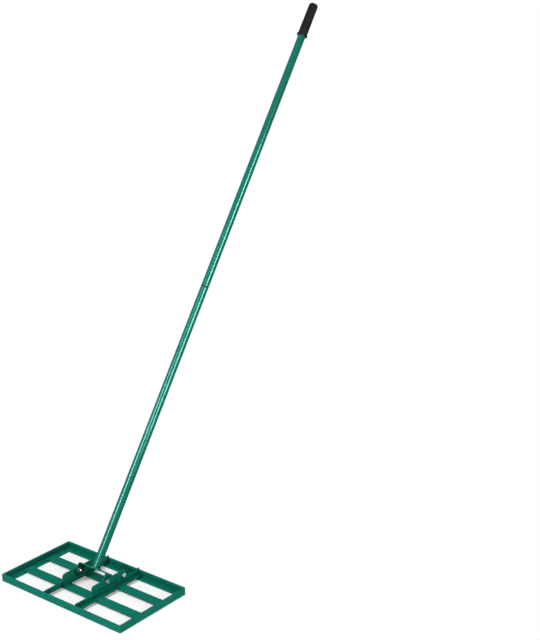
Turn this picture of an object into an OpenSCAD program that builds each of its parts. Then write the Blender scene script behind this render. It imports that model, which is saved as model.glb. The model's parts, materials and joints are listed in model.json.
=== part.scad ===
// Lawn leveling rake: a welded angle-iron head and a two-section pole on a swinging yoke.
// Millimetres. The origin is on the ground under the middle of the head, +Z up,
// +X along the head's long side, and the pole leans towards +Y.

/* [Head frame] */
// Length of the head along X
head_length = 432; // [340:1:600]
// Width of the head along Y
head_width = 240; // [200:1:320]
// Leg of the frame's angle iron
frame_leg = 20; // [16:0.5:28]
// Thickness of the frame's angle iron
frame_t = 4; // [3:0.25:5]

/* [Cross bars] */
// Width of a flat cross bar
bar_w = 29; // [20:0.5:36]
// Thickness of a flat cross bar
bar_t = 3; // [2.5:0.25:5]
// Distance between the middles of the two cross bars
bar_spacing = 80; // [70:1:90]

/* [Rails] */
// Height of a rail's upright
rail_up = 15.5; // [12:0.5:15.5]
// Width of a rail's flange
rail_flange = 13.5; // [10:0.5:20]
// Thickness of the rails' small angle
rail_t = 3; // [2:0.25:4]
// Rise of the tab on a rail's rear end above the upright
rail_tab_h = 5; // [2:0.5:8]
// Length of the tab on a rail's rear end
rail_tab_len = 4; // [3:0.5:10]

/* [Brackets] */
// Thickness of a bracket plate
bracket_t = 3; // [2:0.25:5]
// Height of a bracket plate above the cross bars
bracket_h = 36; // [33:0.5:50]
// Reach of a bracket plate in front of the pivot
bracket_front = 55; // [40:0.5:70]
// Reach of a bracket plate behind the pivot
bracket_rear = 69; // [67:0.5:90]
// Radius of a bracket plate's two upper corners
bracket_corner_r = 9; // [2:0.5:12]

/* [Pivot] */
// Height of the pivot above the cross bars
pivot_rise = 28.5; // [26:0.25:30]
// Diameter of the pivot and rear bolts
bolt_d = 6; // [5:0.5:7]
// Distance of the rear bolt behind the pivot
rear_bolt_back = 60; // [50:0.5:62]
// Height of the rear bolt above the cross bars
rear_bolt_rise = 21.75; // [21.75:0.25:28]

/* [Yoke] */
// Width of the yoke over its two ears
yoke_span = 101; // [80:0.5:120]
// Width of the strip that the yoke is bent from
yoke_strip_w = 28; // [20:0.5:34]
// Thickness of the yoke's strip
yoke_t = 2.5; // [2:0.25:4]
// Distance from the pivot to the yoke's upper face
yoke_reach = 20; // [17:0.5:26]
// Outer radius of the yoke's two bends
yoke_bend_r = 6; // [4.5:0.25:8]

/* [Pole] */
// Outside diameter of both pole tubes
pole_d = 22; // [18:0.5:24]
// Wall of both pole tubes
pole_wall = 1.2; // [1:0.1:2.5]
// Length of the lower pole tube
lower_pole_len = 805; // [500:5:1000]
// Length of the upper pole tube
upper_pole_len = 894; // [500:1:1100]
// Distance of the pole's axis and of the yoke's middle behind the pivot
pole_setback = 3; // [0:0.25:4]
// Lean of the pole from upright, at rest
rest_lean = 34.3; // [0:0.1:60]

/* [Coupling] */
// Depth of the stud's plug in the lower tube
plug_depth = 40; // [20:1:60]
// Diameter of the stud that joins the tubes
stud_d = 14; // [8:0.5:16]
// Length of the stud above the seam
stud_len = 30; // [15:1:50]
// Wall of the socket above the stud's tip
socket_end_wall = 8; // [3:0.5:15]

/* [Grip] */
// Length of the grip
grip_len = 105; // [80:1:160]
// Diameter of the grip next to its collar
grip_d = 26.5; // [25:0.5:34]
// Diameter of the grip at its closed end
grip_end_d = 25.5; // [24.5:0.5:34]
// Diameter of the collar at the grip's lower end
collar_d = 31; // [29:0.5:40]
// Thickness of the collar
collar_t = 6; // [3:0.5:8]
// Wall of the grip over the end of the tube
grip_end_wall = 4; // [2:0.5:8]
// Rounding of the grip's closed end
grip_end_r = 5; // [2:0.5:8]

/* [Hidden] */
$fn = 64;
// Overrun of every cut past the face that it goes through
overrun = 1;
// Play of a bolt in its bracket hole, on the radius
hole_play = 0.2;
// Running clearance of the yoke's ears on the pivot bolts, on the radius
pivot_clear = 0.05;
// Play between an ear and the washer on each side of it
side_play = 0.1;
// Clearance of the stud in its socket, on the radius
stud_clear = 0.1;
// Clearance of a nut over its bolt, on the radius
nut_clear = 0.1;
// Open seam between the two tubes
seam_gap = 0.3;
// Chamfer of the two tube ends that meet at the seam
seam_chamfer = 0.8;
// Spare depth of the socket above the stud's tip
stud_spare = 3;
// Chamfer of the stud's tip
stud_chamfer = 2;

// Root and toe radii of the two angle sections
frame_root_r = 3;
frame_toe_r = 1.5;
rail_root_r = 2;
rail_toe_r = 1;

// Bolts, nuts and washers
bolt_head_af = 10;
bolt_head_h = 4;
nut_h = 5.5;
bolt_tail = 1.5;
washer_d = 13;
washer_t = 1.4;
corner_over_flat = 1 / cos(30);

// Legs of the weld beads, and their lengths as shares of the seam they lie on
frame_bead = 3;
bracket_bead = 2.5;
pole_bead = 3;
bead_length_share = 0.7;
stitch_share = 0.2;

// Heights of the stack: cross bars lie on the flanges, rails and brackets on the bars
bar_top = frame_t + bar_t;
pivot_z = bar_top + pivot_rise;
rear_bolt_z = bar_top + rear_bolt_rise;

// Cross bars, which end against the root of the short sides' section
bar_y = bar_spacing / 2;
bar_len = head_length - 2 * (frame_t + frame_root_r);

// Planes across the pivot, from the middle outwards
ear_out_x = yoke_span / 2;
ear_in_x = ear_out_x - yoke_t;
bracket_in_x = ear_out_x + side_play + washer_t;
bracket_out_x = bracket_in_x + bracket_t;
pivot_nut_x = ear_in_x - side_play - washer_t - nut_h;
rear_nut_x = bracket_in_x - washer_t - nut_h;

// Stations along the pole, from the pivot
seam_s = yoke_reach + lower_pole_len;
upper_s = seam_s + seam_gap;
upper_end_s = upper_s + upper_pole_len;
grip_top_s = upper_end_s + grip_end_wall;
grip_foot_s = grip_top_s - grip_len;
tube_in_d = pole_d - 2 * pole_wall;
socket_depth = stud_len + stud_spare + socket_end_wall;

paint = "#12735f";
zinc = "#c9cdd0";
rubber = "#232125";

// Rolled angle section with its outer corner at the origin, legs along +X and +Y
module angle_section(wide, tall, thick, root_r, toe_r) {
    difference() {
        union() {
            square([wide, thick]);
            square([thick, tall]);
            translate([thick, thick]) difference() {
                square(root_r);
                translate([root_r, root_r]) circle(root_r);
            }
        }
        for (toe = [[wide, thick], [thick, tall]])
            translate([toe[0] - toe_r, toe[1] - toe_r]) difference() {
                square(toe_r + overrun);
                circle(toe_r);
            }
    }
}

// One side of the frame along X, its outer face on y = 0, cut at 45 degrees at both ends
module frame_side(length) {
    difference() {
        translate([-length / 2, 0, 0]) rotate([90, 0, 90]) linear_extrude(length)
            angle_section(frame_leg, frame_leg, frame_t, frame_root_r, frame_toe_r);
        for (end = [0, 1]) mirror([end, 0, 0])
            translate([length / 2, 0, 0]) rotate([0, 0, 45]) translate([0, -overrun, -overrun])
                cube([2 * frame_leg, 2 * frame_leg, frame_leg + 2 * overrun]);
    }
}

module front_angle() {
    color(paint) translate([0, -head_width / 2, 0]) frame_side(head_length);
}

module rear_angle() {
    color(paint) translate([0, head_width / 2, 0]) rotate(180) frame_side(head_length);
}

module left_angle() {
    color(paint) translate([-head_length / 2, 0, 0]) rotate(-90) frame_side(head_width);
}

module right_angle() {
    color(paint) translate([head_length / 2, 0, 0]) rotate(90) frame_side(head_width);
}

module cross_bar() {
    translate([-bar_len / 2, -bar_w / 2, frame_t]) cube([bar_len, bar_w, bar_t]);
}

module front_cross_bar() {
    color(paint) translate([0, -bar_y, 0]) cross_bar();
}

module rear_cross_bar() {
    color(paint) translate([0, bar_y, 0]) cross_bar();
}

// Small angle across both bars, its upright against the bracket, its flange outwards,
// and a tab on its rear end that stands above the frame
module rail() {
    translate([bracket_out_x, head_width / 2 - frame_t, bar_top]) {
        rotate([90, 0, 0]) linear_extrude(head_width - 2 * frame_t)
            angle_section(rail_flange, rail_up, rail_t, rail_root_r, rail_toe_r);
        translate([0, -rail_tab_len, rail_up - rail_toe_r])
            cube([rail_t, rail_tab_len, rail_tab_h + rail_toe_r]);
    }
}

module left_rail() {
    color(paint) mirror([1, 0, 0]) rail();
}

module right_rail() {
    color(paint) rail();
}

// Outline of a bracket plate, from the pivot's foot on the bars
module bracket_outline() {
    span = bracket_front + bracket_rear;
    difference() {
        union() {
            translate([-bracket_front, 0]) square([span, bracket_h - bracket_corner_r]);
            translate([-bracket_front + bracket_corner_r, 0])
                square([span - 2 * bracket_corner_r, bracket_h]);
            for (y = [-bracket_front + bracket_corner_r, bracket_rear - bracket_corner_r])
                translate([y, bracket_h - bracket_corner_r]) circle(bracket_corner_r);
        }
        for (hole = [[0, pivot_rise], [rear_bolt_back, rear_bolt_rise]])
            translate(hole) circle(bolt_d / 2 + hole_play);
    }
}

module bracket() {
    translate([bracket_in_x, 0, bar_top]) rotate([90, 0, 90]) linear_extrude(bracket_t)
        bracket_outline();
}

module left_bracket() {
    color(paint) mirror([1, 0, 0]) bracket();
}

module right_bracket() {
    color(paint) bracket();
}

module hex_prism(flats, height) {
    cylinder(d = flats * corner_over_flat, h = height, $fn = 6);
}

// Hexagon-head bolt along X, from its tail at tail_x to the head on the bracket's outer face
module side_bolt(tail_x) {
    translate([tail_x, 0, 0]) rotate([0, 90, 0]) cylinder(d = bolt_d, h = bracket_out_x - tail_x);
    translate([bracket_out_x, 0, 0]) rotate([0, 90, 0]) hex_prism(bolt_head_af, bolt_head_h);
}

// Nut along X whose inner face is at x
module side_nut(x) {
    translate([x, 0, 0]) rotate([0, 90, 0]) difference() {
        hex_prism(bolt_head_af, nut_h);
        translate([0, 0, -overrun]) cylinder(d = bolt_d + 2 * nut_clear, h = nut_h + 2 * overrun);
    }
}

// Flat washer along X whose inner face is at x
module side_washer(x) {
    translate([x, 0, 0]) rotate([0, 90, 0]) difference() {
        cylinder(d = washer_d, h = washer_t);
        translate([0, 0, -overrun])
            cylinder(d = bolt_d + 2 * hole_play, h = washer_t + 2 * overrun);
    }
}

// Children on the right side of the head and again, mirrored, on its left side
module both_sides() {
    for (side = [0, 1]) mirror([side, 0, 0]) children();
}

module at_pivot() {
    translate([0, 0, pivot_z]) children();
}

module at_rear_bolt() {
    translate([0, rear_bolt_back, rear_bolt_z]) children();
}

module right_pivot_bolt() {
    color(zinc) at_pivot() side_bolt(pivot_nut_x - bolt_tail);
}

module left_pivot_bolt() {
    color(zinc) mirror([1, 0, 0]) at_pivot() side_bolt(pivot_nut_x - bolt_tail);
}

module pivot_washers() {
    color(zinc) both_sides() at_pivot()
        for (x = [bracket_in_x - washer_t, pivot_nut_x + nut_h]) side_washer(x);
}

module pivot_lock_nuts() {
    color(zinc) both_sides() at_pivot() side_nut(pivot_nut_x);
}

module rear_bolts() {
    color(zinc) both_sides() at_rear_bolt() side_bolt(rear_nut_x - bolt_tail);
}

module rear_washers() {
    color(zinc) both_sides() at_rear_bolt() side_washer(bracket_in_x - washer_t);
}

module rear_nuts() {
    color(zinc) both_sides() at_rear_bolt() side_nut(rear_nut_x);
}

// Quarter-round weld bead along +Z in the corner between the planes x = 0 and y = 0
module bead(leg, length) {
    linear_extrude(length) intersection() {
        circle(leg);
        square(leg);
    }
}

// Beads in the four inner corners of the frame, and along the ends of the bars on the flanges
module frame_welds() {
    corner_foot = frame_t + frame_root_r;
    seat = frame_leg - frame_t - frame_root_r - frame_toe_r;
    seat_bead = seat * bead_length_share;
    color(paint) for (sx = [0, 1], sy = [0, 1]) mirror([sx, 0, 0]) mirror([0, sy, 0]) {
        translate([-head_length / 2 + frame_t, -head_width / 2 + frame_t, corner_foot])
            bead(frame_bead, frame_leg - frame_toe_r - corner_foot);
        for (far = [0, 1])
            translate([-bar_len / 2, -bar_y, frame_t]) mirror([0, far, 0])
                translate([0, bar_w / 2, 0]) rotate([90, 0, 90]) bead(frame_bead, seat_bead);
    }
}

// Beads that join the rails to the frame's long walls and to the bars
module rail_welds() {
    upright_x = bracket_out_x + rail_t;
    foot = bar_top + rail_t + rail_root_r;
    edge_bead = bar_w * bead_length_share;
    color(paint) for (sx = [0, 1], sy = [0, 1]) mirror([sx, 0, 0]) mirror([0, sy, 0]) {
        translate([upright_x, -head_width / 2 + frame_t, foot])
            bead(frame_bead, frame_leg - frame_toe_r - foot);
        translate([bracket_out_x + rail_flange, -bar_y + edge_bead / 2, bar_top]) rotate([90, 0, 0])
            bead(rail_t - rail_toe_r, edge_bead);
    }
}

// Beads that join the brackets to the bars inside and to the rails' upper edges outside
module bracket_welds() {
    bar_bead = bar_w * bead_length_share;
    stitch = bracket_front * stitch_share;
    color(paint) both_sides() for (sy = [0, 1]) mirror([0, sy, 0]) {
        translate([bracket_in_x, -bar_y - bar_bead / 2, bar_top]) rotate([90, 0, 180])
            bead(bracket_bead, bar_bead);
        translate([bracket_out_x, -bar_y + stitch / 2, bar_top + rail_up]) rotate([90, 0, 0])
            bead(rail_t - rail_toe_r, stitch);
    }
}

// Children drawn in the handle's frame: pole along +Z, the pivot in front of the origin
module along_pole(station = 0) {
    translate([0, 0, pivot_z]) rotate([-rest_lean, 0, 0]) translate([0, pole_setback, station])
        children();
}

// Arch of the given width and height with two rounded upper corners, its foot on y = -drop
module arch(width, height, corner_r, drop) {
    translate([-width / 2, -drop]) square([width, height - corner_r + drop]);
    translate([-width / 2 + corner_r, 0]) square([width - 2 * corner_r, height]);
    for (x = [-1, 1]) translate([x * (width / 2 - corner_r), height - corner_r]) circle(corner_r);
}

// Strip bent into a U, its two ears rounded at the pivot's height and bored at the pivot
module yoke() {
    color(paint) along_pole() difference() {
        intersection() {
            rotate([90, 0, 0]) linear_extrude(yoke_strip_w, center = true) difference() {
                arch(yoke_span, yoke_reach, yoke_bend_r, yoke_strip_w);
                arch(yoke_span - 2 * yoke_t, yoke_reach - yoke_t, yoke_bend_r - yoke_t,
                    yoke_strip_w + overrun);
            }
            rotate([90, 0, 90]) linear_extrude(yoke_span + 2 * overrun, center = true) {
                circle(yoke_strip_w / 2);
                translate([-yoke_strip_w / 2, 0]) square([yoke_strip_w, yoke_reach + overrun]);
            }
        }
        translate([0, -pole_setback, 0]) rotate([0, 90, 0])
            cylinder(d = bolt_d + 2 * pivot_clear, h = yoke_span + 2 * overrun, center = true);
    }
}

// Round bead between the foot of the lower pole and the yoke
module pole_weld() {
    color(paint) along_pole(yoke_reach) rotate_extrude() translate([pole_d / 2, 0]) intersection() {
        circle(pole_bead);
        square(pole_bead);
    }
}

// Tube from its chamfered end on z = 0
module tube(length) {
    difference() {
        union() {
            cylinder(d1 = pole_d - 2 * seam_chamfer, d2 = pole_d, h = seam_chamfer);
            translate([0, 0, seam_chamfer]) cylinder(d = pole_d, h = length - seam_chamfer);
        }
        translate([0, 0, -overrun]) cylinder(d = tube_in_d, h = length + 2 * overrun);
    }
}

module lower_pole() {
    color(paint) along_pole(seam_s) mirror([0, 0, 1]) tube(lower_pole_len);
}

module upper_pole() {
    color(paint) along_pole(upper_s) tube(upper_pole_len);
}

// Plug in the top of the lower tube with a stud that stands above the seam
module coupling_stud() {
    color(zinc) along_pole(seam_s) {
        translate([0, 0, -plug_depth]) cylinder(d = tube_in_d, h = plug_depth);
        cylinder(d = stud_d, h = stud_len - stud_chamfer);
        translate([0, 0, stud_len - stud_chamfer])
            cylinder(d1 = stud_d, d2 = stud_d - 2 * stud_chamfer, h = stud_chamfer);
    }
}

// Plug in the foot of the upper tube, bored for the stud
module coupling_socket() {
    color(zinc) along_pole(upper_s) difference() {
        cylinder(d = tube_in_d, h = socket_depth);
        translate([0, 0, -overrun])
            cylinder(d = stud_d + 2 * stud_clear, h = overrun + stud_len + stud_spare);
    }
}

// Half outline of the grip, from its foot: tapered body, rounded closed end and round-edged collar
module grip_outline() {
    end_r = grip_end_d / 2;
    difference() {
        union() {
            polygon([
                [0, 0], [grip_d / 2, 0],
                [end_r, grip_len - grip_end_r], [0, grip_len - grip_end_r]
            ]);
            translate([0, grip_len - grip_end_r]) square([end_r - grip_end_r, grip_end_r]);
            translate([end_r - grip_end_r, grip_len - grip_end_r]) intersection() {
                circle(grip_end_r);
                square(grip_end_r);
            }
            square([(collar_d - collar_t) / 2, collar_t]);
            translate([(collar_d - collar_t) / 2, collar_t / 2]) circle(collar_t / 2);
        }
        translate([0, -overrun]) square([pole_d / 2, grip_len - grip_end_wall + overrun]);
    }
}

module grip() {
    color(rubber) along_pole(grip_foot_s) rotate_extrude() grip_outline();
}

front_angle();
rear_angle();
left_angle();
right_angle();
front_cross_bar();
rear_cross_bar();
left_rail();
right_rail();
left_bracket();
right_bracket();
left_pivot_bolt();
right_pivot_bolt();
pivot_washers();
pivot_lock_nuts();
rear_bolts();
rear_washers();
rear_nuts();
frame_welds();
rail_welds();
bracket_welds();
yoke();
pole_weld();
lower_pole();
coupling_stud();
upper_pole();
coupling_socket();
grip();
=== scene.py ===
"""Lawn leveling rake: finishes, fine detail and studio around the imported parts."""

import json
import math

import bmesh
import bpy
from bpy.props import FloatProperty, FloatVectorProperty, IntProperty, PointerProperty
from mathutils import Matrix, Vector


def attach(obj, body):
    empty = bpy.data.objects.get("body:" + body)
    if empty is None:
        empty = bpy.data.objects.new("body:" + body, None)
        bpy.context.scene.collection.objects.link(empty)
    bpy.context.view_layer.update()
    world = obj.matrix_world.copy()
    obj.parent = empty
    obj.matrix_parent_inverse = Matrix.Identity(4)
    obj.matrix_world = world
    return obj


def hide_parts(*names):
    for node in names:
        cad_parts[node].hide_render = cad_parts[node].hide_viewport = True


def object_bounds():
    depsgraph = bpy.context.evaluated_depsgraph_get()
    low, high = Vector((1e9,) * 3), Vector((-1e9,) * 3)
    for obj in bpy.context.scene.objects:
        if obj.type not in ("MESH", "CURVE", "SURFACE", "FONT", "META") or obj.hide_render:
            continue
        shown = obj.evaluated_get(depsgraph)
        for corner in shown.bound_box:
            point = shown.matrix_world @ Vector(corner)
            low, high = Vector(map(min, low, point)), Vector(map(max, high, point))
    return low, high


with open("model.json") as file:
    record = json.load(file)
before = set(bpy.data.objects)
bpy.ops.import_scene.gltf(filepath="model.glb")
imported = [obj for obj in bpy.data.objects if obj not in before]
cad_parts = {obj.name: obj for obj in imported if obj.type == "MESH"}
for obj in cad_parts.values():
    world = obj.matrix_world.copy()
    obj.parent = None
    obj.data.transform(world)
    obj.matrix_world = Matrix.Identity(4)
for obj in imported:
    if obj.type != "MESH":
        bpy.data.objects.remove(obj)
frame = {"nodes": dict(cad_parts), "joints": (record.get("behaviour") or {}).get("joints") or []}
CAD_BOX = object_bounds()

bl_info = {
    "name": "Lawn Leveling Rake",
    "version": (1, 0, 0),
    "blender": (4, 5, 0),
    "location": "View3D > Sidebar > Rake",
    "description": "Paint, fasteners, weld beads and rubber grip of a lawn leveling rake",
    "category": "Object",
}

MM = 0.001

JOINTS = {joint["name"]: joint for joint in frame["joints"]}
PIVOT = Vector(JOINTS["handle_pivot"]["pos_m"])
POLE_AXIS = Vector(JOINTS["upper_draw"]["axis"]).normalized()
POLE_LEAN = math.atan2(POLE_AXIS.y, POLE_AXIS.z)


def pole_frame():
    """Frame with Z up the middle of the pole from beside the pivot, and the seam's height in it."""
    turned = Matrix.Translation(PIVOT) @ Matrix.Rotation(-POLE_LEAN, 4, "X")
    tube = [turned.inverted() @ v.co for v in frame["nodes"]["lower_pole"].data.vertices]
    back = (min(p.y for p in tube) + max(p.y for p in tube)) / 2
    return turned @ Matrix.Translation((0, back, 0)), max(p.z for p in tube)


def up_pole(distance):
    """Point at a distance from the pivot, in the direction of the pole."""
    return PIVOT + POLE_AXIS * distance


def angles(start, end, steps):
    """Angles in equal steps from start to end, both included."""
    return [start + (end - start) * k / steps for k in range(steps + 1)]


POLE_FRAME, SEAM = pole_frame()

FRAME_ANGLES = ("front_angle", "rear_angle", "left_angle", "right_angle")
CROSS_BARS = ("front_cross_bar", "rear_cross_bar")
RAILS_AND_BRACKETS = ("left_rail", "right_rail", "left_bracket", "right_bracket")
WELD_NODES = ("frame_welds", "rail_welds", "bracket_welds")

# Finishes that differ only in a few numbers.
HEAD_COAT = {"roughness": 0.48, "gloss": 0.06, "peel_depth": 0.09 * MM}
YOKE_COAT = {"roughness": 0.46, "gloss": 0.06, "peel_depth": 0.09 * MM}
WELD_COAT = {"roughness": 0.30, "gloss": 0.25, "peel_depth": 0.04 * MM}
POLE_COAT = {"roughness": 0.16, "gloss": 0.50, "peel_depth": 0.005 * MM}
# Zinc tones: the rear bolts' zinc is painted lighter as a painted highlight; the pivot bolts',
# washers' and nuts' darker, as painted shade.
SHADE_PAINTED_ZINC = {"tone": 0.62, "metal": 0.55, "roughness": 0.36}
HIGHLIGHT_PAINTED_ZINC = {"tone": 1.10, "metal": 0.20, "roughness": 0.30}
NUT_ZINC = {"tone": 0.60, "metal": 0.95, "roughness": 0.20}

# Patterns of the finishes.
SCUFF_STRETCH = (30.0, 240.0, 60.0)
BRUSH_STRETCH = (200.0, 4000.0, 4000.0)
GLOSS_TINT = (0.40, 1.0, 0.90)
NYLON_SHADES = ((0.55, 0.57, 0.58), (0.70, 0.71, 0.70))
ZINC_CLOUD = (0.86, 0.90, 0.98)
ZINC_EDGE = 0.25 * MM
RUBBER_EDGE = 0.40 * MM
LATHE_FEED = 0.35 * MM
SEAM_GRIME = (1.5 * MM, 2.5 * MM)

# Numbers of the sockets of a Mix node that mixes colours.
COLOUR_A = 6
COLOUR_B = 7
MIXED_COLOUR = 2

# Fineness of the meshes.
HEX_STEPS = 72
WASHER_STEPS = 48
COUPLING_STEPS = 64
STEPS_PER_PITCH = 8
STEPS_PER_RIPPLE = 8
STEPS_PER_RIB = 8
GRIP_ROWS = 60
QUARTER_ROUND = angles(0.0, math.pi / 2, 10)
HALF_ROUND = angles(-math.pi / 2, math.pi / 2, 16)
SHARP_EDGE = math.radians(32)
SAME_POINT = 0.001 * MM
DOUBLED_POINT = 0.0001 * MM

# Weld beads: depth of the grooves as a share of the leg, bow of the ripples in ripples and, round
# the pole, in radians, shift of the ripples from one bead to the next, and shape of the ends.
GROOVE_DEPTH = 0.13
STRAIGHT_BOW = 0.45
RING_BOW = 1.2
RIPPLE_SHIFT = 0.37
END_FULLNESS = 1.9
END_LEAST = 0.02
FEWEST_ROWS = 12

# Hexagons: flat top as a share of the width across the flats, and chamfer.
CROWN = 0.94
CHAMFER_ANGLE = math.radians(30)

# Depths of the threads as shares of the pitch, and chamfers of the coupling.
BOLT_DEPTH = 0.5
STUD_DEPTH = 0.6
SOCKET_DEPTH = 0.5
PLUG_CHAMFER = 0.8 * MM
SEAM_CHAMFER = 0.4 * MM

# Share of the grip's body that is plain at each end, and over which the ribs then rise.
RIB_FADE = 0.025

# Studio: the floor lies just below the head, so that no two faces share a plane.
FLOOR_GAP = 0.3 * MM
FLOOR_SEGMENTS = 96
SENSOR_WIDTH = 36.0
FARTHEST_SEEN = 500.0
WHITE = (1.0, 1.0, 1.0)

# Area lights: a MATT one lights the matt surfaces and a GLOSS one shows in the glossy ones.
STUDIO_LIGHTS = {
    "key_light": {
        "place": (-0.30, -1.75, 2.40),
        "target": Vector((0, 0, 0)),
        "along": POLE_AXIS,
        "size": (1.2, 1.2),
        "use": "MATT",
    },
    "fill_light": {
        "place": (2.60, -0.60, 1.00),
        "target": up_pole(0.40),
        "along": POLE_AXIS,
        "size": (1.6, 1.6),
        "use": "MATT",
    },
    "right_strip": {
        "place": (1.83, 0.08, 1.47),
        "target": up_pole(0.85),
        "along": POLE_AXIS,
        "size": (0.95, 1.4),
        "use": "GLOSS",
    },
    "left_strip": {
        "place": (-0.06, -1.42, 1.47),
        "target": up_pole(0.35),
        "along": Vector((-0.72, 0.46, 0.66)),
        "size": (0.6, 1.2),
        "use": "GLOSS",
    },
    "faint_strip": {
        "place": (-0.225, -0.912, 2.18),
        "target": up_pole(0.80),
        "along": Vector((0.056, 0.576, 0.816)),
        "size": (0.3, 0.5),
        "use": "GLOSS",
    },
}


class PaintColours(bpy.types.PropertyGroup):
    """Colours of the finishes."""

    head_green: FloatVectorProperty(
        name="Head green",
        description="Powder coat of the welded head",
        subtype="COLOR",
        size=3,
        min=0,
        max=1,
        default=(0.004, 0.172, 0.117),
    )
    pole_green: FloatVectorProperty(
        name="Pole green",
        description="Powder coat of the two tubes",
        subtype="COLOR",
        size=3,
        min=0,
        max=1,
        default=(0.0087, 0.155, 0.113),
    )
    # Lighter green for the scuffs' rubbed coat, and along the edges also a painted highlight.
    wear_and_highlight_green: FloatVectorProperty(
        name="Edge green",
        description="Thin, rubbed coat along the sharp edges",
        subtype="COLOR",
        size=3,
        min=0,
        max=1,
        default=(0.045, 0.31, 0.235),
    )
    zinc: FloatVectorProperty(
        name="Zinc",
        description="Bright zinc plate of the bolts, nuts and washers",
        subtype="COLOR",
        size=3,
        min=0,
        max=1,
        default=(0.72, 0.74, 0.76),
    )
    alloy: FloatVectorProperty(
        name="Alloy",
        description="Turned aluminium of the coupling",
        subtype="COLOR",
        size=3,
        min=0,
        max=1,
        default=(0.70, 0.70, 0.71),
    )
    rubber: FloatVectorProperty(
        name="Rubber",
        description="Moulded rubber of the grip",
        subtype="COLOR",
        size=3,
        min=0,
        max=1,
        default=(0.009, 0.008, 0.0095),
    )
    floor: FloatVectorProperty(
        name="Floor",
        description="Pale studio floor",
        subtype="COLOR",
        size=3,
        min=0,
        max=1,
        default=(0.98, 0.98, 0.985),
    )


class DetailSizes(bpy.types.PropertyGroup):
    """Sizes of the fine detail."""

    edge_round: FloatProperty(
        name="Edge rounding",
        description="Radius that the coat rounds off along a steel edge",
        unit="LENGTH",
        min=0,
        default=0.7 * MM,
    )
    # The four crease reaches set how far painted shade spreads out of the inside corners.
    frame_corner_shade: FloatProperty(
        name="Frame crease",
        description="How far the dark tone spreads out of the inside corner of a frame side",
        unit="LENGTH",
        min=0.1 * MM,
        default=36.0 * MM,
    )
    bar_corner_shade: FloatProperty(
        name="Bar crease",
        description="How far the dark tone spreads on a bar, weld or pole from its neighbours",
        unit="LENGTH",
        min=0.1 * MM,
        default=16.0 * MM,
    )
    upright_corner_shade: FloatProperty(
        name="Upright crease",
        description="How far the dark tone spreads on a rail or bracket from its neighbours",
        unit="LENGTH",
        min=0.1 * MM,
        default=34.0 * MM,
    )
    yoke_corner_shade: FloatProperty(
        name="Yoke crease",
        description="How far the dark tone spreads out of the yoke's bends",
        unit="LENGTH",
        min=0.1 * MM,
        default=80.0 * MM,
    )
    peel: FloatProperty(
        name="Orange peel",
        description="Size of the ripples in the powder coat",
        unit="LENGTH",
        min=0.1 * MM,
        default=1.6 * MM,
    )
    bolt_pitch: FloatProperty(
        name="Bolt thread pitch",
        description="Pitch of the bolt threads",
        unit="LENGTH",
        min=0.2 * MM,
        default=1.0 * MM,
    )
    stud_pitch: FloatProperty(
        name="Coupling thread pitch",
        description="Pitch of the thread that joins the two poles",
        unit="LENGTH",
        min=0.5 * MM,
        default=2.0 * MM,
    )
    weld_pitch: FloatProperty(
        name="Weld ripple",
        description="Distance between the ripples of a weld bead",
        unit="LENGTH",
        min=0.5 * MM,
        default=2.2 * MM,
    )
    grip_ribs: IntProperty(
        name="Grip ribs",
        description="Number of the lengthwise ribs moulded round the grip",
        min=6,
        default=30,
    )
    grip_relief: FloatProperty(
        name="Grip relief",
        description="Height of the grip's ribs and of its collar's lip above the plain body",
        unit="LENGTH",
        min=0,
        default=0.45 * MM,
    )


class StudioSettings(bpy.types.PropertyGroup):
    """Camera, lights and floor."""

    camera_place: FloatVectorProperty(
        name="Camera place",
        description="Where the camera stands",
        subtype="TRANSLATION",
        unit="LENGTH",
        size=3,
        default=(2.0648, -1.9362, 1.5404),
    )
    camera_turn: FloatProperty(
        name="Camera turn",
        description="Turn of the camera about the vertical",
        subtype="ANGLE",
        default=math.radians(37.41),
    )
    camera_drop: FloatProperty(
        name="Camera drop",
        description="Angle by which the camera looks below the horizon",
        subtype="ANGLE",
        default=math.radians(16.20),
    )
    lens: FloatProperty(
        name="Lens",
        description="Focal length in millimetres on a 36 mm sensor",
        subtype="DISTANCE_CAMERA",
        min=10,
        default=66.85,
    )
    floor_radius: FloatProperty(
        name="Floor radius",
        description="Radius of the studio floor",
        unit="LENGTH",
        min=2,
        default=150.0,
    )
    shade_margin: FloatProperty(
        name="Shaded margin",
        description="Width round the head in which the floor's shadows fade to plain white",
        unit="LENGTH",
        min=0.001,
        default=0.005,
    )
    floor_glow: FloatProperty(
        name="Floor glow",
        description="Share of the floor's brightness that no shadow takes away",
        subtype="FACTOR",
        min=0,
        max=1,
        default=0.22,
    )
    ambient: FloatProperty(
        name="Ambient",
        description="Strength of the soft light from all round",
        min=0,
        default=0.40,
    )
    reflected: FloatProperty(
        name="Reflected room",
        description="Strength of the room as the glossy surfaces mirror it",
        min=0,
        default=0.12,
    )
    key_light: FloatProperty(
        name="Key light",
        description="Power of the light high in front of the rake",
        subtype="POWER",
        unit="POWER",
        min=0,
        default=62.0,
    )
    fill_light: FloatProperty(
        name="Fill light",
        description="Power of the large, weak light on the rake's right side",
        subtype="POWER",
        unit="POWER",
        min=0,
        default=21.0,
    )
    right_strip: FloatProperty(
        name="Right strip light",
        description="Power of the strip light to the right of the camera",
        subtype="POWER",
        unit="POWER",
        min=0,
        default=104.0,
    )
    left_strip: FloatProperty(
        name="Left strip light",
        description="Power of the strip light to the left of the camera",
        subtype="POWER",
        unit="POWER",
        min=0,
        default=54.0,
    )
    faint_strip: FloatProperty(
        name="Faint strip light",
        description="Power of the small strip light that lets the left streak fade up the pole",
        subtype="POWER",
        unit="POWER",
        min=0,
        default=5.0,
    )


def looks():
    """The colours that are set in the scene."""
    return bpy.context.scene.rake_colours


def sizes():
    """The detail sizes that are set in the scene."""
    return bpy.context.scene.rake_sizes


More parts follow.
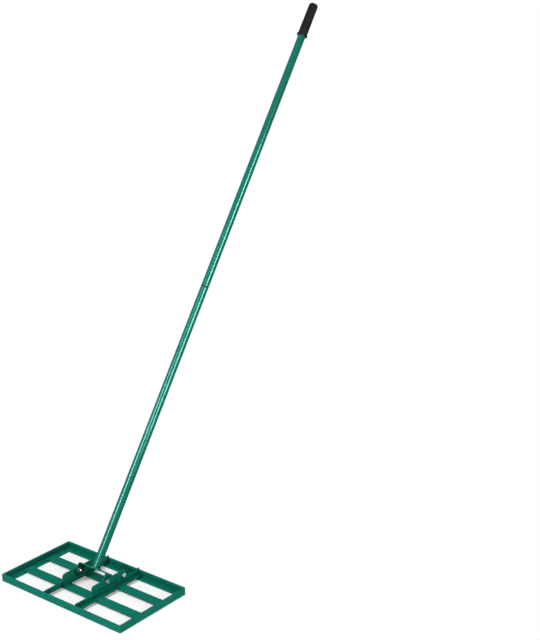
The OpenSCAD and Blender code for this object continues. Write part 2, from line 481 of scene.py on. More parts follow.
class Value:
    """A shader socket that takes part in Python arithmetic by adding Math nodes."""

    def __init__(self, sheet, socket):
        self.sheet = sheet
        self.socket = socket

    def calculate(self, operation, first, second=0.0):
        """A Math node."""
        return self.sheet.node("ShaderNodeMath", {"operation": operation}, {0: first, 1: second})

    def __add__(self, other):
        return self.calculate("ADD", self, other)

    __radd__ = __add__

    def __sub__(self, other):
        return self.calculate("SUBTRACT", self, other)

    def __rsub__(self, other):
        return self.calculate("SUBTRACT", other, self)

    def __mul__(self, other):
        return self.calculate("MULTIPLY", self, other)

    __rmul__ = __mul__

    def __abs__(self):
        return self.calculate("ABSOLUTE", self)

    def sine(self):
        """Sine of an angle in radians."""
        return self.calculate("SINE", self)

    def rise(self, low, high):
        """0 below low, 1 above high, smooth between."""
        return self.sheet.node(
            "ShaderNodeMapRange",
            {"interpolation_type": "SMOOTHSTEP"},
            {"Value": self, "From Min": low, "From Max": high, "To Min": 0.0, "To Max": 1.0},
        )


class NodeSheet:
    """The nodes of a material or of the surroundings."""

    def __init__(self, owner, output):
        owner.use_nodes = True
        self.tree = owner.node_tree
        self.tree.nodes.clear()
        self.surface = self.tree.nodes.new(output).inputs["Surface"]

    def node(self, kind, settings=None, inputs=None, output=0):
        """A node of any kind: its settings first, then the values or links of its sockets."""
        made = self.tree.nodes.new(kind)
        for name, value in (settings or {}).items():
            setattr(made, name, value)
        for key, value in (inputs or {}).items():
            self.feed(made.inputs[key], value)
        return Value(self, made.outputs[output])

    def feed(self, socket, value):
        """Links a value to a socket, or sets a number, vector or colour on it."""
        if isinstance(value, Value):
            self.tree.links.new(value.socket, socket)
        elif socket.type == "RGBA" and len(value) == 3:
            socket.default_value = (*value, 1.0)
        else:
            socket.default_value = value


class Finish(NodeSheet):
    """One procedural material and the nodes that it is mixed from."""

    def __init__(self, name):
        self.material = bpy.data.materials.new(name)
        super().__init__(self.material, "ShaderNodeOutputMaterial")
        self.shader = self.node("ShaderNodeBsdfPrincipled")
        self.feed(self.surface, self.shader)

    def set(self, **sockets):
        """Values or links of the shader's own sockets, with _ for a space in a name."""
        for name, value in sockets.items():
            self.feed(self.shader.socket.node.inputs[name.replace("_", " ")], value)

    def place(self):
        """Coordinates of the rake's own frame, in metres, which move with the piece."""
        return self.node("ShaderNodeTexCoord", output="Object")

    def pole_place(self):
        """The same coordinates with Z along the middle of the pole."""
        shifted = self.node(
            "ShaderNodeVectorMath",
            {"operation": "SUBTRACT"},
            {0: self.place(), 1: tuple(POLE_FRAME.translation)},
        )
        return self.node(
            "ShaderNodeVectorRotate",
            {"rotation_type": "X_AXIS"},
            {"Vector": shifted, "Angle": POLE_LEAN},
        )

    def axes(self, vector):
        """X, Y and Z of a vector."""
        parts = self.node("ShaderNodeSeparateXYZ", inputs={0: vector}).socket.node
        return [Value(self, part) for part in parts.outputs]

    def noise(self, vector, size, detail=3.0, rough=0.55):
        """Noise from 0 to 1 whose patches are about size metres across."""
        return self.node(
            "ShaderNodeTexNoise",
            inputs={"Vector": vector, "Scale": 1.0 / size, "Detail": detail, "Roughness": rough},
        )

    def streaks(self, vector, stretch, detail, rough=0.55):
        """Noise drawn out into lines, with a scale for each axis."""
        drawn = self.node(
            "ShaderNodeVectorMath", {"operation": "MULTIPLY"}, {0: vector, 1: stretch}
        )
        return self.noise(drawn, 1.0, detail, rough)

    def mix(self, share, low, high):
        """Mix of two colours."""
        return self.node(
            "ShaderNodeMix",
            {"data_type": "RGBA"},
            {"Factor": share, COLOUR_A: low, COLOUR_B: high},
            output=MIXED_COLOUR,
        )

    def edges(self, radius):
        """Rounded normal, and a mask that is 1 along the edges."""
        rounded = self.node("ShaderNodeBevel", {"samples": 4}, {"Radius": radius})
        flat = self.node("ShaderNodeNewGeometry", output="True Normal")
        same = self.node(
            "ShaderNodeVectorMath",
            {"operation": "DOT_PRODUCT"},
            {0: rounded, 1: flat},
            output="Value",
        )
        return rounded, (1 - same).rise(0.01, 0.16)

    def painted_corner_shade(self, reach, own):
        """Ambient-occlusion mask for painted shade: 1 deep in an inside corner and 0 in the open.

        The corners are the piece's own, or those that it makes with its neighbours too.
        """
        return 1 - self.node(
            "ShaderNodeAmbientOcclusion",
            {"samples": 6, "only_local": own},
            {"Distance": reach},
            output="AO",
        )

    def bump(self, height, depth, strength, normal=None):
        """Normal of a relief whose full height is depth metres."""
        inputs = {"Strength": strength, "Distance": depth, "Height": height}
        if normal is not None:
            inputs["Normal"] = normal
        return self.node("ShaderNodeBump", inputs=inputs)


def toned(colour, share):
    """A colour made darker, or lighter with a share above 1."""
    return tuple(channel * share for channel in colour)


def powder_coat(name, colour, corner_shade_reach, roughness, gloss, peel_depth, own=False, seam=None):
    """Green powder coat: orange peel, tone patches, scuffs, edges lightened as rubbed coat and
    painted highlight, painted shade in the inside corners, and a dark seam.
    """
    finish = Finish(name)
    place = finish.place()
    wear_and_highlight = tuple(looks().wear_and_highlight_green)
    # Dark green for painted shade in the corners and for the grime at the seam.
    deep = toned(colour, 0.12)
    rounded, edge = finish.edges(sizes().edge_round)
    patches = finish.noise(place, size=60 * MM, detail=4.0)
    grain = finish.noise(place, size=4 * MM, detail=2.0)
    scuffs = finish.streaks(place, SCUFF_STRETCH, detail=5.0, rough=0.65).rise(0.60, 0.72)
    rubs = finish.noise(place, size=9 * MM, detail=4.0).rise(0.35, 0.7)
    # Mask for painted shade in the inside corners, from ambient occlusion.
    painted_corner_shade = finish.painted_corner_shade(corner_shade_reach, own)
    tone = finish.mix(patches, toned(colour, 0.86), toned(colour, 1.14))
    tone = finish.mix(grain.rise(0.45, 0.75) * 0.25, tone, toned(colour, 1.25))
    tone = finish.mix(scuffs * 0.16, tone, wear_and_highlight)
    # Edges lightened: rubbed coat and a painted highlight.
    tone = finish.mix(edge * (0.35 + 0.5 * rubs), tone, wear_and_highlight)
    # Painted shade: the coat darkens in the inside corners.
    tone = finish.mix(painted_corner_shade.rise(0.05, 0.75), tone, deep)
    rough = roughness * (0.9 + 0.2 * patches + 0.25 * scuffs + 0.2 * edge)
    if seam is not None:
        height = finish.axes(finish.pole_place())[2]
        grime = 1 - abs(height - seam).rise(*SEAM_GRIME)
        tone = finish.mix(grime * 0.9, tone, deep)
        rough = rough + 0.8 * grime
        rounded = None
    peel = finish.noise(place, size=sizes().peel, detail=2.0, rough=0.5)
    finish.set(
        Base_Color=tone,
        Roughness=rough,
        IOR=1.45,
        Specular_IOR_Level=gloss,
        Specular_Tint=GLOSS_TINT,
        Normal=finish.bump(peel, peel_depth, strength=0.6, normal=rounded),
    )
    return finish.material


def zinc_plate(name, tone, metal, roughness):
    """Zinc plate: fine brushed lines, cloudy passivation and bright edges."""
    finish = Finish(name)
    place = finish.place()
    rounded, edge = finish.edges(ZINC_EDGE)
    clouds = finish.noise(place, size=3 * MM, detail=4.0)
    lines = finish.streaks(place, BRUSH_STRETCH, detail=3.0)
    zinc = toned(looks().zinc, tone)
    clouded = tuple(channel * share for channel, share in zip(zinc, ZINC_CLOUD))
    shade = finish.mix(clouds, clouded, zinc)
    shade = finish.mix(edge * 0.5, shade, toned(zinc, 1.15))
    finish.set(
        Base_Color=shade,
        Metallic=metal,
        Roughness=roughness * (0.75 + 0.4 * clouds + 0.15 * lines),
        Normal=finish.bump(lines, 0.03 * MM, strength=0.5, normal=rounded),
    )
    return finish.material


def nylon(name):
    """Pale nylon of a lock nut's ring."""
    finish = Finish(name)
    clouds = finish.noise(finish.place(), size=2 * MM)
    finish.set(
        Base_Color=finish.mix(clouds, *NYLON_SHADES),
        Roughness=0.42 + 0.12 * clouds,
        Subsurface_Weight=0.1,
        Normal=finish.bump(clouds, 0.05 * MM, strength=0.4),
    )
    return finish.material


def turned_alloy(name):
    """Turned aluminium: rings from the lathe and a cloudy sheen."""
    finish = Finish(name)
    along = finish.axes(finish.pole_place())[2]
    clouds = finish.noise(finish.place(), size=6 * MM, detail=4.0)
    rings = (along * (2 * math.pi / LATHE_FEED) + 3.0 * clouds).sine()
    alloy = tuple(looks().alloy)
    finish.set(
        Base_Color=finish.mix(clouds, toned(alloy, 0.82), alloy),
        Metallic=1.0,
        Roughness=0.28 + 0.14 * clouds,
        Normal=finish.bump(rings, 0.02 * MM, strength=0.5),
    )
    return finish.material


def moulded_rubber(name):
    """Matt black rubber: fine grain, faint bloom, and edges painted lighter as a painted sheen."""
    finish = Finish(name)
    place = finish.place()
    rounded, edge = finish.edges(RUBBER_EDGE)
    bloom = finish.noise(place, size=18 * MM, detail=4.0)
    grain = finish.noise(place, size=1.1 * MM)
    rubber = tuple(looks().rubber)
    tone = finish.mix(bloom.rise(0.35, 0.75), rubber, toned(rubber, 1.9))
    # Painted sheen: the edges are painted lighter.
    tone = finish.mix(edge * 0.4, tone, toned(rubber, 2.4))
    finish.set(
        Base_Color=tone,
        Roughness=0.58 + 0.16 * (grain - 0.5) + 0.10 * (bloom - 0.5),
        Specular_IOR_Level=0.10,
        Normal=finish.bump(grain, 0.12 * MM, strength=0.5, normal=rounded),
    )
    return finish.material


def dress(nodes, material):
    """Gives CAD nodes a finish."""
    for name in nodes:
        slots = frame["nodes"][name].data.materials
        slots.clear()
        slots.append(material)


def new_piece(name, bm, materials, body, replaced):
    """Turns a bmesh into a smooth-shaded piece that rides on a body in place of CAD nodes."""
    bmesh.ops.remove_doubles(bm, verts=bm.verts, dist=DOUBLED_POINT)
    bmesh.ops.recalc_face_normals(bm, faces=bm.faces)
    for face in bm.faces:
        face.smooth = True
    for edge in bm.edges:
        edge.smooth = edge.is_manifold and edge.calc_face_angle(0.0) < SHARP_EDGE
    mesh = bpy.data.meshes.new(name)
    bm.to_mesh(mesh)
    bm.free()
    for material in materials:
        mesh.materials.append(material)
    piece = bpy.data.objects.new(name, mesh)
    bpy.context.scene.collection.objects.link(piece)
    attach(piece, body)
    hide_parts(*replaced)


def skin(bm, rings, material=0, caps=True):
    """Faces between closed rings of points, with the ends capped."""
    rows = [[bm.verts.new(point) for point in ring] for ring in rings]
    count = len(rows[0])
    for low, high in zip(rows, rows[1:]):
        for i in range(count):
            j = (i + 1) % count
            bm.faces.new((low[i], low[j], high[j], high[i])).material_index = material
    if caps:
        for row in (rows[0], rows[-1]):
            middle = bm.verts.new(sum((v.co for v in row), Vector()) / count)
            for i in range(count):
                bm.faces.new((row[i], row[(i + 1) % count], middle)).material_index = material


def around(steps):
    """Angles of the points of a ring."""
    return angles(0.0, 2 * math.pi, steps)[:-1]


def round_point(radius, angle, height):
    """Point at a radius and an angle about the Z axis."""
    return Vector((radius * math.cos(angle), radius * math.sin(angle), height))


def at(size, angle):
    """A size that may be a function of the angle."""
    return size(angle) if callable(size) else size


def lathe(bm, place, profile, steps, material=0, caps=True):
    """Revolves (height, radius) pairs, of which each may depend on the angle, about Z of place."""
    rings = []
    for height, radius in profile:
        ring = []
        for angle in around(steps):
            ring.append(place @ round_point(at(radius, angle), angle, at(height, angle)))
        rings.append(ring)
    skin(bm, rings, material, caps)


def hex_radius(flats):
    """Radius of a hexagon, as a function of the angle."""

    def radius(angle):
        turn = (angle + math.pi / 6) % (math.pi / 3) - math.pi / 6
        return flats / 2 / math.cos(turn)

    return radius


def hex_chamfer(flats, crown):
    """Fall of a hexagon's edge where a cone chamfers it, as a function of the angle."""
    radius = hex_radius(flats)

    def fall(angle):
        return (radius(angle) - crown) * math.tan(CHAMFER_ANGLE)

    return fall


def threaded(radius, pitch, depth, low, high, taper):
    """(height, radius) pairs of a V thread between two heights, run out at both ends."""
    pairs = []
    count = max(STEPS_PER_PITCH, int((high - low) / pitch * STEPS_PER_PITCH))
    for i in range(count + 1):
        height = low + (high - low) * i / count
        fade = min(1.0, (height - low) / taper, (high - height) / taper)

        def groove(angle, height=height, fade=fade):
            turn = (height / pitch - angle / (2 * math.pi)) % 1.0
            return radius - depth * max(0.0, fade) * abs(2 * turn - 1)

        pairs.append((height, groove))
    return pairs


def bolt(bm, place, radius, length, flats, head):
    """Hexagon bolt: tail at the origin of place, head above length."""
    pitch = sizes().bolt_pitch
    crown = flats / 2 * CROWN
    collar = length + 0.25 * MM
    top = length + head
    fall = hex_chamfer(flats, crown)
    lathe(
        bm,
        place,
        [(0.0, radius * 0.82), (0.35 * MM, radius * 0.9)]
        + threaded(radius, pitch, BOLT_DEPTH * pitch, 0.4 * MM, length, 0.5 * MM)
        + [
            (length, flats / 2 * 0.93),
            (collar, flats / 2 * 0.95),
            (collar, hex_radius(flats)),
            (lambda angle: top - fall(angle), hex_radius(flats)),
            (top, crown),
            (top, crown * 0.80),
            (top - 0.25 * MM, crown * 0.70),
        ],
        steps=HEX_STEPS,
    )


def lock_nut(bm, place, bore, flats, height):
    """Hexagon nut from the origin of place, with a rolled collar over a nylon ring."""
    hexagon = height * 0.70
    ring_foot = height * 0.80
    ring_top = height * 0.90
    crown = flats / 2 * CROWN
    mouth = crown * 0.68
    lathe(
        bm,
        place,
        [
            (ring_foot, bore),
            (0.0, bore),
            (0.0, crown),
            (hex_chamfer(flats, crown), hex_radius(flats)),
            (hexagon, hex_radius(flats)),
            (hexagon, crown * 0.97),
            (height * 0.92, crown * 0.93),
            (height, crown * 0.82),
            (height, crown * 0.72),
            (height * 0.94, mouth),
            (ring_foot, mouth),
        ],
        steps=HEX_STEPS,
        caps=False,
    )
    lathe(
        bm,
        place,
        [(ring_foot, mouth), (ring_top, mouth), (ring_top, bore), (ring_foot, bore)],
        steps=HEX_STEPS,
        material=1,
        caps=False,
    )


def washer(bm, place, bore, outer, thick):
    """Flat washer with stamped, rounded edges."""
    soft = thick * 0.22
    lathe(
        bm,
        place,
        [
            (0.0, bore),
            (0.0, outer - soft),
            (soft, outer),
            (thick - soft, outer),
            (thick, outer - soft),
            (thick, bore + soft * 0.5),
            (thick - soft * 0.5, bore),
            (0.0, bore),
        ],
        steps=WASHER_STEPS,
        caps=False,
    )


def pole_points(node):
    """Points of a CAD node in the pole's frame."""
    to_pole = POLE_FRAME.inverted()
    return [to_pole @ v.co for v in frame["nodes"][node].data.vertices]


def solids_of(node):
    """Lowest corner, highest corner and points of each separate solid of a CAD node."""
    bm = bmesh.new()
    bm.from_mesh(frame["nodes"][node].data)
    bmesh.ops.remove_doubles(bm, verts=bm.verts, dist=SAME_POINT)
    left = set(bm.verts)
    found = []
    while left:
        stack = [left.pop()]
        group = []
        while stack:
            vert = stack.pop()
            group.append(vert.co.copy())
            for edge in vert.link_edges:
                other = edge.other_vert(vert)
                if other in left:
                    left.discard(other)
                    stack.append(other)
        found.append((Vector(map(min, *group)), Vector(map(max, *group)), group))
    bm.free()
    return sorted(found, key=lambda solid: tuple(round(c, 5) for c in solid[0]))


def bore_of(low, high, points):
    """Radius of the bore along X through the middle of a solid."""
    middle = (low + high) / 2
    return min((p - middle).yz.length for p in points)


def outward(low, high):
    """Frame at the inner end of a solid, with Z outwards along the pivot."""
    middle = (low + high) / 2
    side = 1 if middle.x > 0 else -1
    start = low.x if side > 0 else high.x
    turn = Matrix.Rotation(side * math.pi / 2, 4, "Y")
    return Matrix.Translation((start, middle.y, middle.z)) @ turn


def rippled(leg, bow, phase):
    """Radius of a bead's round face, with grooves that fade out towards its two edges."""
    return leg * (1 - bow * GROOVE_DEPTH * (1 - math.sqrt(abs(math.sin(phase)))))


def swell(share):
    """Share of its full leg that a bead has at a share of its length: blunt at both ends."""
    bow = max(END_LEAST, 1 - (2 * share - 1) ** 2)
    return min(1.0, math.sqrt(bow) * END_FULLNESS)


def straight_bead(bm, low, high, points, pitch, seed):
    """Rippled weld bead in the corner that the CAD's quarter-round bead fills."""
    size = high - low
    along = max(range(3), key=lambda axis: size[axis])
    first, second = [axis for axis in range(3) if axis != along]
    ends = (low, high)
    open_by = {}
    for a, b in ((0, 0), (0, 1), (1, 0), (1, 1)):
        across, deep = ends[a][first], ends[b][second]
        open_by[a, b] = min(math.hypot(p[first] - across, p[second] - deep) for p in points)
    a, b = max(open_by, key=open_by.get)
    root = (ends[1 - a][first], ends[1 - b][second])
    reach = (1 if a else -1, 1 if b else -1)
    leg = min(size[first], size[second])
    length = size[along]
    count = max(FEWEST_ROWS, int(length / pitch * STEPS_PER_RIPPLE))
    rings = []
    for i in range(count + 1):
        share = i / count
        face = []
        for angle in QUARTER_ROUND:
            bow = math.sin(2 * angle)
            ripple = share * length / pitch + STRAIGHT_BOW * bow + RIPPLE_SHIFT * seed
            radius = rippled(leg * swell(share), bow, math.pi * ripple)
            across = root[0] + reach[0] * radius * math.cos(angle)
            deep = root[1] + reach[1] * radius * math.sin(angle)
            face.append((across, deep))
        ring = []
        for across, deep in (*face, root):
            point = Vector()
            point[along] = low[along] + share * length
            point[first] = across
            point[second] = deep
            ring.append(point)
        rings.append(ring)
    skin(bm, rings)


class RAKE_OT_head_paint(bpy.types.Operator):
    """Coats the frame, bars, rails and bracket plates with green powder paint"""

    bl_idname = "rake.head_paint"
    bl_label = "Paint Head"

    def execute(self, context):
        green = tuple(looks().head_green)
        # Each coat gets painted shade in its inside corners, spread over its own reach.
        for name, nodes, crease, own in (
            ("frame_powder_coat", FRAME_ANGLES, sizes().frame_corner_shade, True),
            ("bar_powder_coat", CROSS_BARS, sizes().bar_corner_shade, False),
            ("upright_powder_coat", RAILS_AND_BRACKETS, sizes().upright_corner_shade, False),
        ):
            dress(nodes, powder_coat(name, green, crease, own=own, **HEAD_COAT))
        return {"FINISHED"}


class RAKE_OT_weld_beads(bpy.types.Operator):
    """Lays rippled weld beads where the CAD has plain ones"""

    bl_idname = "rake.weld_beads"
    bl_label = "Lay Weld Beads"

    def execute(self, context):
        green = tuple(looks().head_green)
        coat = powder_coat("weld_powder_coat", green, sizes().bar_corner_shade, **WELD_COAT)
        pitch = sizes().weld_pitch
        for node in WELD_NODES:
            bm = bmesh.new()
            for seed, (low, high, points) in enumerate(solids_of(node)):
                straight_bead(bm, low, high, points, pitch, seed)
            new_piece(node + "_rippled", bm, [coat], "head", [node])
        self.ring(coat, pitch)
        return {"FINISHED"}

    def ring(self, coat, pitch):
        """Bead between the pole and the yoke."""
        local = pole_points("pole_weld")
        foot = min(p.z for p in local)
        leg = max(p.z for p in local) - foot
        inner = min(p.xy.length for p in local)
        ripples = round(2 * math.pi * inner / pitch)
        turns = around(ripples * STEPS_PER_RIPPLE)
        rings = []
        for angle in QUARTER_ROUND:
            bow = math.sin(2 * angle)
            ring = []
            for turn in turns:
                radius = rippled(leg, bow, ripples * turn / 2 + RING_BOW * bow)
                across = inner + radius * math.cos(angle)
                height = foot + radius * math.sin(angle)
                ring.append(POLE_FRAME @ round_point(across, turn, height))
            rings.append(ring)
        rings.append([POLE_FRAME @ round_point(inner, turn, foot) for turn in turns])
        rings.append(rings[0])
        bm = bmesh.new()
        skin(bm, rings, caps=False)
        new_piece("pole_weld_rippled", bm, [coat], "handle", ["pole_weld"])


class RAKE_OT_fasteners(bpy.types.Operator):
    """Makes the bolts, washers and nuts with threads, chamfers and lock rings"""

    bl_idname = "rake.fasteners"
    bl_label = "Make Fasteners"

    def execute(self, context):
        # Lighter and darker copies of one zinc: painted highlight on the rear bolts, painted shade
        # on the rest.
        shade_painted = zinc_plate("dull_zinc", **SHADE_PAINTED_ZINC)
        bright = zinc_plate("bright_zinc", **HIGHLIGHT_PAINTED_ZINC)
        nut_zinc = zinc_plate("nut_zinc", **NUT_ZINC)
        ring = nylon("lock_ring_nylon")
        for node, zinc in (
            ("left_pivot_bolt", shade_painted),
            ("right_pivot_bolt", shade_painted),
            ("rear_bolts", bright),
        ):
            self.cut(node, "_cut", [zinc], self.bolt_in)
        for node in ("pivot_washers", "rear_washers"):
            self.cut(node, "_stamped", [shade_painted], self.washer_in)
        for node in ("pivot_lock_nuts", "rear_nuts"):
            self.cut(node, "_cut", [nut_zinc, ring], self.nut_in)
        return {"FINISHED"}

    def cut(self, node, ending, materials, make):
        """Makes each solid of a CAD node anew."""
        bm = bmesh.new()
        for low, high, points in solids_of(node):
            make(bm, low, high, points)
        new_piece(node + ending, bm, materials, "head", [node])

    def bolt_in(self, bm, low, high, points):
        """Bolt with the CAD bolt's shank, length and head."""
        place = outward(low, high)
        local = [place.inverted() @ p for p in points]
        shank = max(p.xy.length for p in local if p.z < SAME_POINT)
        length = min(p.z for p in local if p.xy.length > shank * 1.3)
        head = max(p.z for p in local) - length
        bolt(bm, place, shank, length, high.y - low.y, head)

    def washer_in(self, bm, low, high, points):
        """Washer with the CAD washer's bore, width and thickness."""
        bore = bore_of(low, high, points)
        washer(bm, outward(low, high), bore, (high.z - low.z) / 2, high.x - low.x)

    def nut_in(self, bm, low, high, points):
        """Lock nut with the CAD nut's bore, flats and height, its ring on the inner side."""
        height = high.x - low.x
        turned = Matrix.Translation((0, 0, height)) @ Matrix.Rotation(math.pi, 4, "X")
        bore = bore_of(low, high, points)
        lock_nut(bm, outward(low, high) @ turned, bore, high.y - low.y, height)


class RAKE_OT_yoke(bpy.types.Operator):
    """Coats the swinging yoke"""

    bl_idname = "rake.yoke"
    bl_label = "Paint Yoke"

    def execute(self, context):
        green = tuple(looks().head_green)
        coat = powder_coat("yoke_powder_coat", green, sizes().yoke_corner_shade, **YOKE_COAT)
        dress(["yoke"], coat)
        return {"FINISHED"}


class RAKE_OT_poles(bpy.types.Operator):
    """Coats the two pole tubes with glossy green paint"""

    bl_idname = "rake.poles"
    bl_label = "Paint Poles"

    def execute(self, context):
        green = tuple(looks().pole_green)
        coat = powder_coat("pole_powder_coat", green, sizes().bar_corner_shade, seam=SEAM, **POLE_COAT)
        dress(["lower_pole", "upper_pole"], coat)
        return {"FINISHED"}


class RAKE_OT_coupling(bpy.types.Operator):
    """Cuts the thread of the stud and of the socket that join the poles"""

    bl_idname = "rake.coupling"
    bl_label = "Thread Coupling"

    def execute(self, context):
        alloy = turned_alloy("turned_alloy")
        pitch = sizes().stud_pitch
        self.stud(alloy, pitch)
        self.socket(alloy, pitch)
        return {"FINISHED"}

    def stud(self, alloy, pitch):
        """Plug in the lower tube with a threaded stud above the seam."""
        local = pole_points("coupling_stud")
        foot = min(p.z for p in local)
        tip = max(p.z for p in local)
        plug = max(p.xy.length for p in local)
        radius = max(p.xy.length for p in local if p.z > SEAM + MM)
        depth = STUD_DEPTH * pitch
        thread = threaded(radius, pitch, depth, SEAM + 2.0 * MM, tip - 2.0 * MM, MM)
        bm = bmesh.new()
        lathe(
            bm,
            POLE_FRAME,
            [
                (foot, plug - PLUG_CHAMFER),
                (foot + PLUG_CHAMFER, plug),
                (SEAM - SEAM_CHAMFER, plug),
                (SEAM, plug - SEAM_CHAMFER),
                (SEAM, radius - depth),
                (SEAM + 1.2 * MM, radius - depth),
            ]
            + thread
            + [(tip, radius - 2.0 * MM)],
            steps=COUPLING_STEPS,
        )
        name = "coupling_stud_threaded"
        new_piece(name, bm, [alloy], "handle", ["coupling_stud"])

    def socket(self, alloy, pitch):
        """Plug in the upper tube with a threaded bore."""
        local = pole_points("coupling_socket")
        foot = min(p.z for p in local)
        top = max(p.z for p in local)
        outer = max(p.xy.length for p in local)
        bore = min(p.xy.length for p in local if p.z < foot + MM)
        ceiling = max(p.z for p in local if p.xy.length < bore + 0.1 * MM and p.z < top - MM)
        depth = SOCKET_DEPTH * pitch
        thread = threaded(bore, pitch, -depth, foot + 1.5 * MM, ceiling - 2.0 * MM, MM)
        bm = bmesh.new()
        lathe(
            bm,
            POLE_FRAME,
            [(ceiling, bore)]
            + thread[::-1]
            + [
                (foot, bore + 1.2 * MM),
                (foot, outer - SEAM_CHAMFER),
                (foot + SEAM_CHAMFER, outer),
                (top - PLUG_CHAMFER, outer),
                (top, outer - PLUG_CHAMFER),
            ],
            steps=COUPLING_STEPS,
        )
        name = "coupling_socket_threaded"
        new_piece(name, bm, [alloy], "upper_handle", ["coupling_socket"])


class RAKE_OT_grip(bpy.types.Operator):
    """Moulds the rubber grip with its ribs, collar and closed end"""

    bl_idname = "rake.grip"
    bl_label = "Mould Grip"

    def execute(self, context):
        local = pole_points("grip")
        foot = min(p.z for p in local)
        top = max(p.z for p in local)
        bore = min(p.xy.length for p in local if p.z < foot + MM)
        bore_top = max(p.z for p in local if abs(p.xy.length - bore) < SAME_POINT)
        # The collar is widest halfway up, and its top is the lowest ring of the body.
        widest = max(local, key=lambda p: p.xy.length)
        collar_top = 2 * widest.z - foot - 0.2 * MM
        neck = min((p for p in local if p.z > collar_top), key=lambda p: p.z)
        # The rounded end starts as far below the top as it is wider than the flat.
        flat = min(p.xy.length for p in local if p.z > top - SAME_POINT)
        end = min(
            (p for p in local if p.z < top - MM),
            key=lambda p: abs(flat + top - p.z - p.xy.length),
        )
        relief = sizes().grip_relief
        bm = bmesh.new()
        lathe(
            bm,
            POLE_FRAME,
            [(bore_top, bore), (foot, bore)]
            + self.collar(foot, neck.z - foot, neck.xy.length, widest.xy.length + relief)
            + self.body(neck.z, neck.xy.length, end.z, end.xy.length)
            + self.round_end(end.z, end.xy.length, top),
            steps=sizes().grip_ribs * STEPS_PER_RIB,
        )
        rubber = moulded_rubber("moulded_rubber")
        new_piece("grip_ribbed", bm, [rubber], "upper_handle", ["grip"])
        return {"FINISHED"}

    def collar(self, foot, thick, neck, reach):
        """Round-edged collar at the foot."""
        half = thick / 2
        rows = []
        for angle in HALF_ROUND:
            height = foot + half * (1 + math.sin(angle))
            rows.append((height, reach - half + half * math.cos(angle)))
        return rows + [(foot + thick, neck + 0.4 * MM)]

    def body(self, low, low_radius, high, high_radius):
        """Tapered body whose ribs rise out of it and fade out before both ends."""
        rows = []
        for k in range(GRIP_ROWS + 1):
            share = k / GRIP_ROWS
            height = low + (high - low) * share
            radius = low_radius + (high_radius - low_radius) * share
            fade = min(1.0, max(0.0, (0.5 - abs(share - 0.5)) / RIB_FADE - 1))
            rows.append((height, self.ribbed(radius, fade)))
        return rows

    def ribbed(self, radius, fade):
        """Radius round the ribs, as a function of the angle."""
        ribs = sizes().grip_ribs
        relief = sizes().grip_relief * fade

        def rib(angle):
            return radius + relief * (1 - (0.5 - 0.5 * math.cos(ribs * angle)) ** 2)

        return rib

    def round_end(self, low, radius, top):
        """Rounded closed end."""
        rise = top - low
        rows = []
        for angle in QUARTER_ROUND[1:]:
            rows.append((low + rise * math.sin(angle), radius - rise * (1 - math.cos(angle))))
        return rows


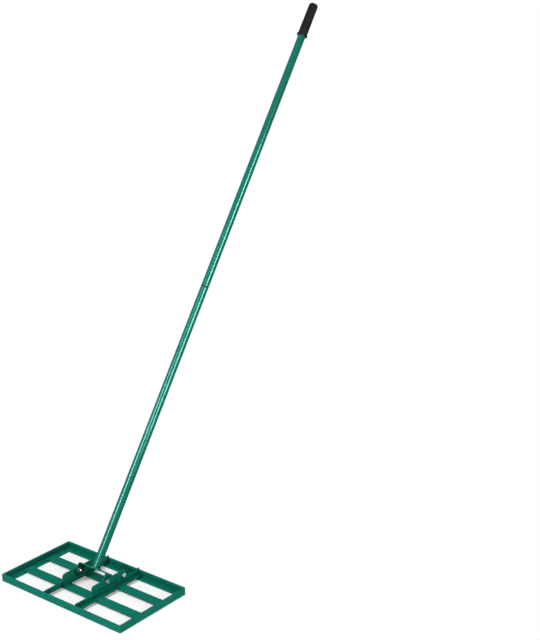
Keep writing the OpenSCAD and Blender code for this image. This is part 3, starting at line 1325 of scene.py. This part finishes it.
class RAKE_OT_studio(bpy.types.Operator):
    """Sets up the pale floor, the soft lights and the camera"""

    bl_idname = "rake.studio"
    bl_label = "Set Up Studio"

    def execute(self, context):
        studio = context.scene.rake_studio
        context.scene.view_settings.view_transform = "Standard"
        self.floor(context, studio)
        self.surroundings(context, studio)
        for name, lamp in STUDIO_LIGHTS.items():
            self.light(context, name, getattr(studio, name), **lamp)
        self.camera(context, studio)
        return {"FINISHED"}

    def floor(self, context, studio):
        """White floor that takes shadows under the head alone."""
        bm = bmesh.new()
        bmesh.ops.create_circle(
            bm, cap_ends=True, segments=FLOOR_SEGMENTS, radius=studio.floor_radius
        )
        mesh = bpy.data.meshes.new("studio_floor")
        bm.to_mesh(mesh)
        bm.free()
        floor = bpy.data.objects.new("studio_floor", mesh)
        floor.location.z = -FLOOR_GAP
        floor.visible_glossy = False
        context.scene.collection.objects.link(floor)
        finish = Finish("studio_floor")
        finish.set(Base_Color=tuple(looks().floor), Roughness=0.9, Specular_IOR_Level=0.1)
        across, deep, _ = finish.axes(finish.place())
        low, high = CAD_BOX
        past_side = (abs(across) - high[0]).rise(0.0, studio.shade_margin)
        past_front = (abs(deep) + low[1]).rise(0.0, studio.shade_margin)
        under_head = (1 - past_side) * (1 - past_front)
        plain = 1 - under_head * (1 - studio.floor_glow)
        white = finish.node("ShaderNodeEmission", inputs={"Color": WHITE, "Strength": 1.0})
        both = finish.node("ShaderNodeMixShader", inputs={0: plain, 1: finish.shader, 2: white})
        finish.feed(finish.surface, both)
        mesh.materials.append(finish.material)

    def surroundings(self, context, studio):
        """White to the eye, soft for matt surfaces and dim in reflections."""
        world = bpy.data.worlds.new("studio_surroundings")
        context.scene.world = world
        sheet = NodeSheet(world, "ShaderNodeOutputWorld")
        seen = None
        for ray, strength in (
            (None, studio.ambient),
            ("Is Glossy Ray", studio.reflected),
            ("Is Camera Ray", 1.0),
        ):
            inputs = {"Color": WHITE, "Strength": strength}
            shade = sheet.node("ShaderNodeBackground", inputs=inputs)
            if ray:
                share = sheet.node("ShaderNodeLightPath", output=ray)
                shade = sheet.node("ShaderNodeMixShader", inputs={0: share, 1: seen, 2: shade})
            seen = shade
        sheet.feed(sheet.surface, seen)

    def light(self, context, name, power, place, target, along, size, use):
        """Area light with its long side along a direction, for matt light or for gloss."""
        data = bpy.data.lights.new(name, "AREA")
        data.shape = "RECTANGLE"
        data.size, data.size_y = size
        data.energy = power
        lamp = bpy.data.objects.new(name, data)
        lamp.location = place
        back = (Vector(place) - target).normalized()
        up = (along - back * along.dot(back)).normalized()
        lamp.rotation_euler = Matrix((up.cross(back), up, back)).transposed().to_euler()
        lamp.visible_camera = False
        lamp.visible_diffuse = use == "MATT"
        lamp.visible_glossy = use == "GLOSS"
        context.scene.collection.objects.link(lamp)

    def camera(self, context, studio):
        """Camera at the photograph's angle."""
        data = bpy.data.cameras.new("photo_camera")
        data.sensor_width = SENSOR_WIDTH
        data.lens = studio.lens
        data.clip_end = FARTHEST_SEEN
        camera = bpy.data.objects.new("photo_camera", data)
        camera.location = studio.camera_place
        camera.rotation_euler = (math.pi / 2 - studio.camera_drop, 0.0, studio.camera_turn)
        context.scene.collection.objects.link(camera)
        context.scene.camera = camera


class RAKE_PT_parts(bpy.types.Panel):
    """Sidebar panel with the steps and their settings"""

    bl_label = "Lawn Leveling Rake"
    bl_idname = "RAKE_PT_parts"
    bl_space_type = "VIEW_3D"
    bl_region_type = "UI"
    bl_category = "Rake"

    def draw(self, context):
        scene = context.scene
        for step in STEPS:
            self.layout.operator(step.bl_idname)
        for group in (scene.rake_colours, scene.rake_sizes, scene.rake_studio):
            column = self.layout.column(align=True)
            for name in group.__annotations__:
                column.prop(group, name)


STEPS = (
    RAKE_OT_head_paint,
    RAKE_OT_weld_beads,
    RAKE_OT_fasteners,
    RAKE_OT_yoke,
    RAKE_OT_poles,
    RAKE_OT_coupling,
    RAKE_OT_grip,
    RAKE_OT_studio,
)
CLASSES = (PaintColours, DetailSizes, StudioSettings, *STEPS, RAKE_PT_parts)


def register():
    """Registers the classes and hangs the settings on the scene."""
    for item in CLASSES:
        bpy.utils.register_class(item)
    bpy.types.Scene.rake_colours = PointerProperty(type=PaintColours)
    bpy.types.Scene.rake_sizes = PointerProperty(type=DetailSizes)
    bpy.types.Scene.rake_studio = PointerProperty(type=StudioSettings)


def unregister():
    """Takes the settings and the classes away again."""
    del bpy.types.Scene.rake_studio
    del bpy.types.Scene.rake_sizes
    del bpy.types.Scene.rake_colours
    for item in reversed(CLASSES):
        bpy.utils.unregister_class(item)


def main():
    """Runs the steps in order."""
    register()
    for step in STEPS:
        group, name = step.bl_idname.split(".")
        getattr(getattr(bpy.ops, group), name)()


if __name__ == "__main__":
    main()
